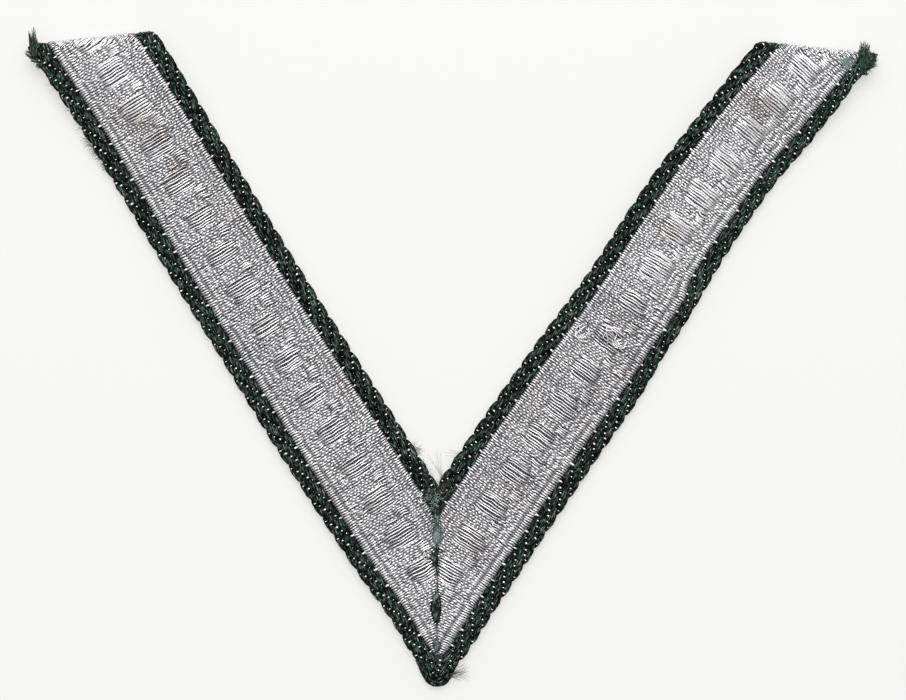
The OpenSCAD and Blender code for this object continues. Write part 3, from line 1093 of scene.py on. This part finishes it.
for arm in ARMS:
    wefts, binders = silver_pieces(arm)
    ground = root(ground_piece(arm, GROUND), "silver_weave", f"{arm.name}_band")
    for where in SIGN:
        yarns = cord_yarns(arm, where)
        add_dots(wefts, arm, where)
        root(yarns.piece(f"{arm.name}_{where}_yarns", GREEN), "green_cord", f"{arm.name}_{where}_cord")
        root(core_piece(arm, where, CORE_SHADE), "green_cord")
    face = [
        root(wefts.piece(f"{arm.name}_wefts", SILVER), "silver_weave", f"{arm.name}_band"),
        root(binders.piece(f"{arm.name}_binders", BINDER), "silver_weave", f"{arm.name}_band"),
    ]
    lines = np.linspace(-EDGE_V, EDGE_V, 41)
    lengths = arm.fold_at(lines) - arm.seam_at(lines) + FOLD_LEN + HEM_L


# Loose fibres

# The share of its width that a fibre loses by its tip, and how much it lies in the open, which gives it
# painted highlights
FIBRE_TAPER = 0.65
FIBRE_AIR = 1.3
LOCK_POINTS = 7
LOCK_FIBRES = 26
LOCK_THICK = 0.11
# Short fibres scattered over a frayed end
STRAY_FIBRES = 60


def heading_of(arm, degrees):
    """A world direction from one given away from the seam, 90 degrees being +Y."""
    return degrees if arm.side > 0 else 180 - degrees


def runs(start, heading, climb, length, bend, points):
    """A path from start: heading and climb in degrees, turned by bend degrees on its way."""
    share = np.linspace(0, 1, points)
    angle = np.radians(heading + bend * share)
    rise = np.radians(climb) * (1 - share)
    steps = np.stack([np.cos(angle) * np.cos(rise), np.sin(angle) * np.cos(rise), np.sin(rise)], axis=-1)
    moves = np.cumsum(steps[:-1], axis=0) * length / (points - 1)
    return start + np.vstack([np.zeros(3), moves])


def lay_fibre(yarns, path, thick, strand=None, sides=3):
    """Adds a tapered fibre that stays above the floor."""
    path[:, 2] = np.maximum(path[:, 2], 0.7 * thick)
    width = thick * (1 - FIBRE_TAPER * np.linspace(0, 1, len(path)))
    yarns.add(path, UP, width, width, sides, strand, FIBRE_AIR)


def lay_run(yarns, start, heading, climb, length, bend, points, thick, **more):
    lay_fibre(yarns, runs(start, heading, climb, length, bend, points), thick, **more)


def lay_lock(yarns, start, heading, climb, length, width, bend):
    """A blade-shaped lock: fibres that spread from its root and end in a ragged tip."""
    share = np.linspace(0, 1, LOCK_POINTS)
    profile = (0.6 + 0.8 * share) * (1 - 0.5 * share ** 2)
    angle = np.radians(heading + bend * share)
    aside = np.stack([-np.sin(angle), np.cos(angle), np.zeros(LOCK_POINTS)], axis=-1)
    for _ in range(LOCK_FIBRES):
        offset = RNG.uniform(-1, 1)
        reach = length * RNG.uniform(0.70, 1.0) * (1 - 0.15 * abs(offset))
        path = runs(start, heading, climb, reach, bend, LOCK_POINTS)
        path += aside * (width / 2 * offset * profile)[:, None]
        path[:, 2] += RNG.uniform(-0.7, 0.3) * width * profile
        path[1:] += stray(0.025, (LOCK_POINTS - 1, 3))
        lay_fibre(yarns, path, LOCK_THICK * RNG.uniform(0.7, 1.2))


# The locks of each frayed end: heading, climb, length, bend and width, and where each starts
# from the fold of the cord's middle, along the arm and outwards
HEADING, CLIMB, LONG, BEND, WIDE, BACK, OUT = range(7)
LOCKS = {
    "left": (
        (91, 5, 3.5, 0, 0.75, -0.1, 1.10), (83, 5, 3.2, 0, 0.75, -0.2, 1.25),
        (88, 3, 2.6, 0, 0.80, -0.2, 0.90), (28, 0, 1.5, 0, 0.80, -0.3, 1.00),
        (5, -2, 1.1, 8, 0.60, -0.8, 0.85), (-25, -2, 0.9, 8, 0.60, -1.4, 0.70),
    ),
    "right": (
        (91, 4, 3.3, 0, 0.75, -1.2, 0.25), (85, 6, 3.5, 0, 0.80, -1.2, 0.30),
        (78, 6, 3.4, 0, 0.80, -1.2, 0.35), (71, 4, 3.3, 0, 0.70, -1.2, 0.35),
        (57, 3, 2.6, 0, 0.80, -1.2, 0.35), (41, 2, 2.4, 0, 0.80, -1.2, 0.35),
        (30, 1, 2.2, 0, 0.75, -1.2, 0.35), (19, 0, 1.9, 0, 0.70, -1.2, 0.35),
        (-5, -2, 1.1, -8, 0.60, -1.6, 0.40),
    ),
}


def fray_piece(arm):
    """The frayed end of an outer cord: locks of fibre that spread from the fold."""
    yarns = Yarns()
    fold = arm.fold_at(CORD_V)
    root_spot, _ = arm.place(fold, CORD_V, 0.0)
    along = np.append(arm.along(fold), 0)
    outwards = np.append(arm.outwards(fold), 0)
    for lock in LOCKS[arm.name]:
        start = root_spot + along * lock[BACK] + outwards * lock[OUT]
        start[2] = 2 * UNDER_Z + 2 * FOLD_R - RNG.uniform(0.0, 0.25)
        heading = heading_of(arm, lock[HEADING])
        lay_lock(yarns, start, heading, lock[CLIMB], lock[LONG], lock[WIDE], arm.side * lock[BEND])
    for _ in range(STRAY_FIBRES):
        start = root_spot + along * RNG.uniform(-1.4, 0.1) + outwards * RNG.uniform(0.2, 1.0)
        start[2] = RNG.uniform(0.7, 2.3)
        lay_run(
            yarns, start, heading_of(arm, RNG.uniform(-60, 110)), RNG.uniform(0, 40),
            RNG.uniform(0.3, 0.8), stray(40), 5, RNG.uniform(0.05, 0.09),
        )
    return yarns.piece(f"{arm.name}_fray_fibres", FRAY)


# Fuzz on the free edges of the cords: how far along the arm, spread along it, count, length,
# and turn from straight out of the edge in degrees
AT, SPREAD, COUNT, LENGTH, OFF = range(5)
FUZZ = {
    "left_outer": (
        (75.6, 0.9, 9, 0.6, 25), (72.7, 0.5, 6, 0.7, 10), (69.4, 0.3, 5, 0.8, 20), (67.0, 0.5, 7, 0.9, 35),
        (64.3, 1.2, 70, 1.05, 30), (62.2, 1.2, 60, 0.75, 20), (66.0, 8.0, 60, 0.32, 20),
        (30.0, 25.0, 22, 0.28, 0),
    ),
    "left_inner": ((15.2, 0.7, 40, 1.1, -20), (12.2, 1.3, 16, 0.9, 0), (40.0, 25.0, 22, 0.28, 0)),
    "right_outer": ((72.0, 4.0, 14, 0.35, 20), (38.0, 30.0, 30, 0.30, 0)),
    "right_inner": ((45.0, 28.0, 24, 0.28, 0),),
}
FUZZ_THICK = 0.035


def fuzz_piece(arm, where):
    """Short fibres that stand off a cord's free edge."""
    yarns = Yarns()
    sign = SIGN[where]
    for tuft in FUZZ[f"{arm.name}_{where}"]:
        for _ in range(tuft[COUNT]):
            s = tuft[AT] + tuft[SPREAD] * RNG.uniform(-1, 1)
            v = sign * (EDGE_V - RNG.uniform(0.0, 0.25))
            start, _ = arm.in_cord(s, v, RNG.uniform(-0.1, 0.45))
            out = arm.outwards(s) * sign
            heading = math.degrees(math.atan2(out[1], out[0])) + arm.side * sign * tuft[OFF]
            heading += stray(28)
            length = tuft[LENGTH] * RNG.uniform(0.4, 1.15)
            lay_run(
                yarns, start, heading, RNG.uniform(-12, 20), length, stray(45), 6,
                FUZZ_THICK * RNG.uniform(0.7, 1.3),
            )
    return yarns.piece(f"{arm.name}_{where}_fuzz", FRAY)


# The tufts of grey hair on the right arm: place along it, line, height, heading, count,
# length, how far they fan out in degrees, and thickness
HAIR_TUFTS = (
    (RIGHT.seam_at(EDGE_V) + 1.9, EDGE_V - 0.1, -0.1, 14, 44, 2.6, 9, 0.05),
    (RIGHT.seam_at(-EDGE_V) + 0.9, -EDGE_V + 0.1, 0.3, 105, 9, 3.4, 12, 0.028),
    (14.6, -EDGE_V + 0.1, 0.3, 185, 6, 1.7, 14, 0.028),
)
HAIRS_ON_CORD = 60


def hairs_piece():
    """Grey hairs caught at the point of the V and in its crotch."""
    yarns = Yarns()
    for s, v, h, heading, count, length, fan, thick in HAIR_TUFTS:
        start, _ = RIGHT.in_cord(s, v, h)
        for _ in range(count):
            lay_run(
                yarns, start + stray(0.15, 3), heading + stray(fan), RNG.uniform(-5, 15),
                length * RNG.uniform(0.5, 1.1), stray(25), 6, thick,
            )
    for _ in range(HAIRS_ON_CORD):
        over, _ = RIGHT.in_cord(RNG.uniform(9.0, 11.5), -CORD_V + stray(0.6), CORD_H / 2 + 0.1)
        lay_run(yarns, over, RNG.uniform(0, 180), 8, RNG.uniform(0.5, 1.4), stray(60), 6, 0.04)
    return yarns.piece("caught_hairs", HAIR)


# The fluff beside the right frayed end: count, and how far along the arm and across it
FLUFF_COUNT = 110
FLUFF_AT = (77.2, 3.7)
# Pale fluff on the seam: height, middle line, radius and count
SEAM_FLUFF = (
    (6.4, 0.05, 0.40, 230), (7.2, 0.00, 0.50, 90), (8.4, -0.10, 0.55, 60), (-6.2, 0.0, 0.35, 40),
    (10.6, -0.5, 1.1, 55),
)
# How many times as far the fluff spreads along the seam as across it
FLUFF_SPREAD = 1.7


def haze_piece():
    """Pale green fluff, on the silver beside the right frayed end and on the seam."""
    yarns = Yarns()
    for _ in range(FLUFF_COUNT):
        s = FLUFF_AT[0] + stray(0.45)
        v = FLUFF_AT[1] + stray(0.5)
        start, _ = RIGHT.on_face(min(s, RIGHT.fold_at(v) - 0.2), v, RNG.uniform(0.02, 0.14))
        path = runs(start, RNG.uniform(0, 360), 4, RNG.uniform(0.3, 0.8), stray(70), 5)
        path[:, 2] = np.maximum(path[:, 2], start[2])
        lay_fibre(yarns, path, 0.05)
    for y, x, radius, count in SEAM_FLUFF:
        for _ in range(count):
            start = on_seam(x, y, 0.46)
            start += stray(0.5, 3) * (radius, FLUFF_SPREAD * radius, 0.1)
            lay_run(yarns, start, RNG.uniform(0, 360), 8, RNG.uniform(0.2, 0.6), stray(80), 5, 0.065)
    return yarns.piece("fluff", HAZE)


# Pulled silver threads: how many run side by side, and their turning points across the seam
# and along it, from the mitre's middle
LOOPS = {
    "left_loops": (
        (4, ((-1.3, 4.5), (-1.4, 4.1), (-1.0, 3.9), (-0.7, 4.2))),
        (2, ((-2.2, 11.6), (-1.9, 11.1), (-1.5, 11.3))),
        (2, ((-2.2, 10.6), (-1.7, 10.2), (-1.3, 10.5))),
    ),
    "right_loops": (
        (5, ((16.6, 30.9), (16.0, 29.8), (16.5, 29.3), (17.2, 29.4), (17.8, 30.3))),
        (3, ((18.6, 30.8), (19.2, 30.3), (19.5, 29.7), (20.1, 29.2), (20.3, 28.6))),
        (2, ((18.9, 30.7), (19.7, 30.4), (20.0, 29.8), (20.5, 29.3))),
        (4, ((20.0, 29.2), (20.2, 28.5), (20.8, 28.2), (21.4, 28.5), (21.6, 29.1))),
        (2, ((20.5, 29.4), (20.7, 28.9), (21.0, 28.6))),
    ),
}
LOOP_W = 0.155
# The largest share that a pulled thread falls short of its loop at either end, how far it
# strays from its neighbours, and how much it is turned from them in radians
LOOP_SHORT = 0.34
LOOP_STRAY = 0.10
LOOP_TURN = 0.55
# How high the threads arch, and how much higher they lie farther from the seam than NEAR_SEAM
LOOP_ARCH = 0.30
NEAR_SEAM = 5
ON_CROWN = 0.22


def loops_piece(name):
    """Silver threads pulled up out of one arm's weave, lying on it in loops."""
    yarns = Yarns()
    for threads, turns in LOOPS[name]:
        turns = np.array(turns)
        knots = np.arange(len(turns))
        share = np.linspace(0, len(turns) - 1, 6 * len(turns))
        line = np.column_stack([np.interp(share, knots, turns[:, k]) for k in (0, 1)])
        for _ in range(2):
            line[1:-1] = (line[:-2] + 2 * line[1:-1] + line[2:]) / 4
        heading = unit(np.gradient(line, axis=0))
        aside = np.stack([-heading[:, 1], heading[:, 0]], axis=-1)
        arch = np.sin(np.linspace(0, math.pi, len(line))) ** 0.5
        middle = line.mean(axis=0)
        for k in range(threads):
            offset = (k - (threads - 1) / 2) * 1.1 * LOOP_W + stray(0.05)
            turn = stray(LOOP_TURN)
            turned = np.array([[math.cos(turn), math.sin(turn)], [-math.sin(turn), math.cos(turn)]])
            flat = line + aside * offset * (1 + 0.12 * stray(1, (len(line), 1)))
            flat = MITRE + middle + (flat - middle) @ turned
            height = seam_height(line[:, 1]) + 0.16 + LOOP_ARCH * arch * RNG.uniform(0.7, 1.2)
            height = np.where(np.abs(line[:, 0]) > NEAR_SEAM, height + ON_CROWN, height)
            flat = flat + stray(LOOP_STRAY, 2)
            ends = RNG.uniform(0, LOOP_SHORT, 2) * len(line)
            path = np.column_stack([flat, height])[int(ends[0]):len(line) - int(ends[1])]
            # Painted light on each stretch of thread, at random strength
            air = RNG.uniform(0.58, 0.96, len(path))
            yarns.add(path, UP, LOOP_W, LOOP_W * 0.7, 5, RNG.uniform(0.1, 0.7), air)
    return yarns.piece(name, SILVER)


# The green thread along the mitre, from the mitre's middle: top, low end, width, middle line,
# height over the tape and number of fibres
TOP, LOW, THREAD_WIDE, MIDDLE, PROUD, FIBRES = range(6)
STITCHES = (
    (11.6, 8.4, 1.05, -0.10, 0.30, 11), (10.2, 6.8, 0.80, -0.08, 0.22, 10),
    (8.0, 5.6, 1.05, 0.05, 0.26, 12), (5.3, 2.4, 1.00, -0.38, 0.22, 11),
    (0.9, -4.3, 1.40, -0.12, 0.24, 15), (-5.2, -7.0, 1.00, -0.05, 0.22, 10),
)
STITCH_POINTS = 13
# How far round the thread its fibres turn, how thick they are as a share of it, how flat it
# lies, and how deep it is drawn in: all along and at its ends
STITCH_TURNS = 0.55
STITCH_FAT = 0.42
STITCH_FLAT = 0.6
STITCH_SINK = (0.22, 0.35)
# Short strands across the mitre, where the thread is knotted: height, middle line, length and
# heading
CROSSINGS = (
    (4.9, 0.0, 1.9, -12), (4.6, 0.0, 1.5, 14), (2.4, 0.0, 0.9, 80), (2.1, 0.0, 0.7, 30),
    (5.4, 0.0, 0.7, 70), (0.1, 0.95, 0.8, 55), (-0.1, 0.85, 0.6, -40),
)
# Tangles of loose thread on the seam: height, middle line, radius, count and length
TANGLES = (
    (10.9, -0.5, 1.1, 130, 0.9), (9.6, 0.0, 0.45, 40, 0.7), (6.2, 0.05, 0.35, 26, 0.5),
    (-7.7, 0.0, 0.55, 60, 0.8),
)
# How high the tape lies at the mitre between its cords
SEAM_Z = 1.12


def seam_height(y):
    """How high the tape lies at the mitre, y from its middle along the seam."""
    in_cords = ease((np.abs(y) - 8.0) / 1.2)
    return SEAM_Z + (CORD_H - SEAM_Z) * in_cords


def on_seam(x, y, lift):
    """A place over the mitre, x and y from its middle."""
    return np.array([MITRE[0] + x, MITRE[1] + y, seam_height(y) + lift])


def seam_piece():
    """The stitches and the knot that hold the two arms together."""
    yarns = Yarns()
    share = np.linspace(0, 1, STITCH_POINTS)
    profile = np.sin(math.pi * (0.04 + 0.92 * share)) ** 0.55
    for stitch in STITCHES:
        y = stitch[TOP] + (stitch[LOW] - stitch[TOP]) * share
        half = stitch[THREAD_WIDE] / 2 * profile
        thick = STITCH_FAT * stitch[THREAD_WIDE] * (0.35 + 0.65 * profile)
        for k in range(stitch[FIBRES]):
            angle = 2 * math.pi * (k / stitch[FIBRES] + STITCH_TURNS * share)
            ring = 0.72 if k % 3 else 0.3
            x = MITRE[0] + stitch[MIDDLE] + ring * half * np.cos(angle)
            z = seam_height(y) + stitch[PROUD] * profile - STITCH_SINK[0]
            z = z + STITCH_FLAT * ring * half * np.sin(angle) - STITCH_SINK[1] * (1 - profile)
            path = np.stack([x, MITRE[1] + y, z], axis=-1) + stray(0.012, (STITCH_POINTS, 3))
            # Painted shade: fibres darker where they turn under the thread
            yarns.add(path, UP, thick, thick * 0.8, 4, RNG.random(), 0.55 + 0.45 * np.sin(angle))
    for y, x, length, heading in CROSSINGS:
        toward = np.array([math.cos(math.radians(heading)), math.sin(math.radians(heading))])
        for _ in range(3):
            start = on_seam(x, y, 0.10)
            start[1] += stray(0.08)
            start[:2] -= length / 2 * toward
            turned = heading + stray(6)
            lay_run(yarns, start, turned, 6, length, stray(10), 7, 0.15, strand=0.0, sides=4)
    for y, x, radius, count, length in TANGLES:
        for _ in range(count):
            start = on_seam(x, y, 0)
            start += stray(0.5, 3) * (radius, radius, 0.1) + (0, 0, 0.15)
            lay_run(
                yarns, start, RNG.uniform(0, 360), 10, length * RNG.uniform(0.5, 1.2),
                stray(90), 7, RNG.uniform(0.06, 0.13),
            )
    return yarns.piece("seam_thread", THREAD)


# The point of the V: its rounding and how far up each leg the turned yarns run
POINT_R = 1.66
POINT_LEG = 2.5
POINT_LEAN = 32.9
POINT_SHIFT = (0.03, -0.10)
# Each turned yarn's inset from the rounded edge and its height
POINT_YARNS = ((0.18, 0.42), (0.20, 0.74), (0.36, 1.06), (0.62, 1.32), (0.96, 1.44))
# The length of one swelling of these yarns, and a strand's share of their thickness
POINT_STITCH = 1.15
POINT_FAT = 0.6


def point_path(inset, height):
    """A yarn that comes down one leg of the V, round its point and up the other leg."""
    lean = math.radians(POINT_LEAN)
    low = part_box("left_outer_cord")[0].y / MM
    centre = np.array([MITRE[0], low + POINT_R]) + POINT_SHIFT
    radius = max(POINT_R - inset, 0.12)
    turn = np.linspace(math.pi + lean, 2 * math.pi - lean, 15)
    bow = centre + radius * np.stack([np.cos(turn), np.sin(turn)], axis=-1)
    legs = np.linspace(1, 0, 9)[:-1, None] * POINT_LEG
    left = bow[0] + legs * np.array([-math.sin(lean), math.cos(lean)])
    right = bow[-1] + legs[::-1] * np.array([math.sin(lean), math.cos(lean)])
    flat = np.vstack([left, bow, right])
    share = np.abs(np.linspace(-1, 1, len(flat)))
    inward = np.vstack([np.diff(flat, axis=0), flat[-1:] - flat[-2:-1]])
    inward = unit(np.stack([-inward[:, 1], inward[:, 0]], axis=-1))
    flat = flat + inward * (0.28 * ease((share - 0.55) / 0.45))[:, None]
    z = height - 0.25 * ease((share - 0.6) / 0.4)
    return np.column_stack([flat, z])


def point_piece():
    """The outer cords' yarns where they turn round the point of the V."""
    yarns = Yarns()
    for number, (inset, height) in enumerate(POINT_YARNS):
        path = point_path(inset, height)
        gone = travelled(path)
        swell = np.abs(np.sin(math.pi * (gone / POINT_STITCH + 0.35 * number))) ** 0.5
        fat = 0.62 + 0.55 * swell
        first_turn = RNG.uniform(0, 6.28)
        for k in range(SUB_YARNS):
            turn = first_turn + 2 * math.pi * (k / SUB_YARNS + gone / TWIST_LEN)
            strand = path.copy()
            strand[:, 0] += YARN_W * TWIST_R * fat * np.cos(turn)
            strand[:, 2] += YARN_H * TWIST_R * fat * np.sin(turn) - 0.16 * (1 - swell)
            strand[:, 2] = np.maximum(strand[:, 2], YARN_H / 2)
            width, thick = YARN_W * POINT_FAT * fat, YARN_H * POINT_FAT * fat
            # Painted shade: darker in the dips and where the strands twist underneath
            air = (0.3 + 0.7 * swell) * (0.55 + 0.45 * np.sin(turn))
            yarns.add(strand, UP, width, thick, 4, RNG.uniform(0, 0.8), air)
    return yarns.piece("point_yarns", GREEN)


for arm in ARMS:
    root(fray_piece(arm), "green_fray", f"{arm.name}_fray")
for arm in ARMS:
    for where in SIGN:
        root(fuzz_piece(arm, where), "green_fray")
root(hairs_piece(), "green_fray")
root(haze_piece(), "green_fray")
for name in LOOPS:
    root(loops_piece(name), "silver_weave")
root(seam_piece(), "green_thread")
root(point_piece(), "green_cord")


# Floor, light and camera

FLOOR_HALF = 0.6
FLOOR_COLOUR = (0.76, 0.757, 0.738)
# The floor glows a little, as a light table does, so that the shadows on it stay as faint as
# in the photograph: the share of its colour that glows, and how strongly
FLOOR_GLOW = 0.56
FLOOR_LIT = 1.22


def floor():
    mesh = bpy.data.meshes.new("floor")
    corners = [(x * FLOOR_HALF, y * FLOOR_HALF, 0) for x, y in ((-1, -1), (1, -1), (1, 1), (-1, 1))]
    mesh.from_pydata(corners, [], [(0, 1, 2, 3)])
    mesh.materials.append(Look("pale_floor").shade(
        Base_Color=rgba(FLOOR_COLOUR, 1 - FLOOR_GLOW), Emission_Color=rgba(FLOOR_COLOUR, FLOOR_GLOW),
        Emission_Strength=FLOOR_LIT, Roughness=0.9, Specular_IOR_Level=0.1,
    ))
    shown("floor", mesh)


def area_light(name, place, size, power):
    """A round light that faces the frame's origin, from above and behind it."""
    data = bpy.data.lights.new(name, "AREA")
    data.shape = "DISK"
    data.size = size
    data.energy = power
    x, y, z = place
    turn = (math.atan2(math.hypot(x, y), z), 0, math.atan2(-y, -x) - math.pi / 2)
    shown(name, data, place).rotation_euler = turn


# The photograph's frame: one pixel in millimetres, and its middle from the mitre's middle
PIXEL = 0.115
PHOTO_W = 906
VIEW_FROM_MITRE = (1.84, 27.8)
LENS = 120.0
SENSOR = 36.0


def camera():
    data = bpy.data.cameras.new("camera")
    data.sensor_fit = "HORIZONTAL"
    data.sensor_width = SENSOR
    data.lens = LENS
    data.clip_start = 0.01
    middle = MITRE + VIEW_FROM_MITRE
    distance = PHOTO_W * PIXEL * LENS / SENSOR
    place = (middle[0] * MM, middle[1] * MM, (distance + FLAT_Z) * MM)
    bpy.context.scene.camera = shown("camera", data, place)


floor()
area_light("overhead", (0.0, 0.30, 0.55), 0.50, 2.85)
area_light("wide", (0.0, 0.35, 0.60), 2.2, 7.9)
camera()

world = bpy.data.worlds.new("studio")
world.use_nodes = True
world.node_tree.nodes["Background"].inputs["Color"].default_value = (1, 1, 1, 1)
world.node_tree.nodes["Background"].inputs["Strength"].default_value = 0.285
bpy.context.scene.world = world
bpy.context.scene.view_settings.view_transform = "Standard"
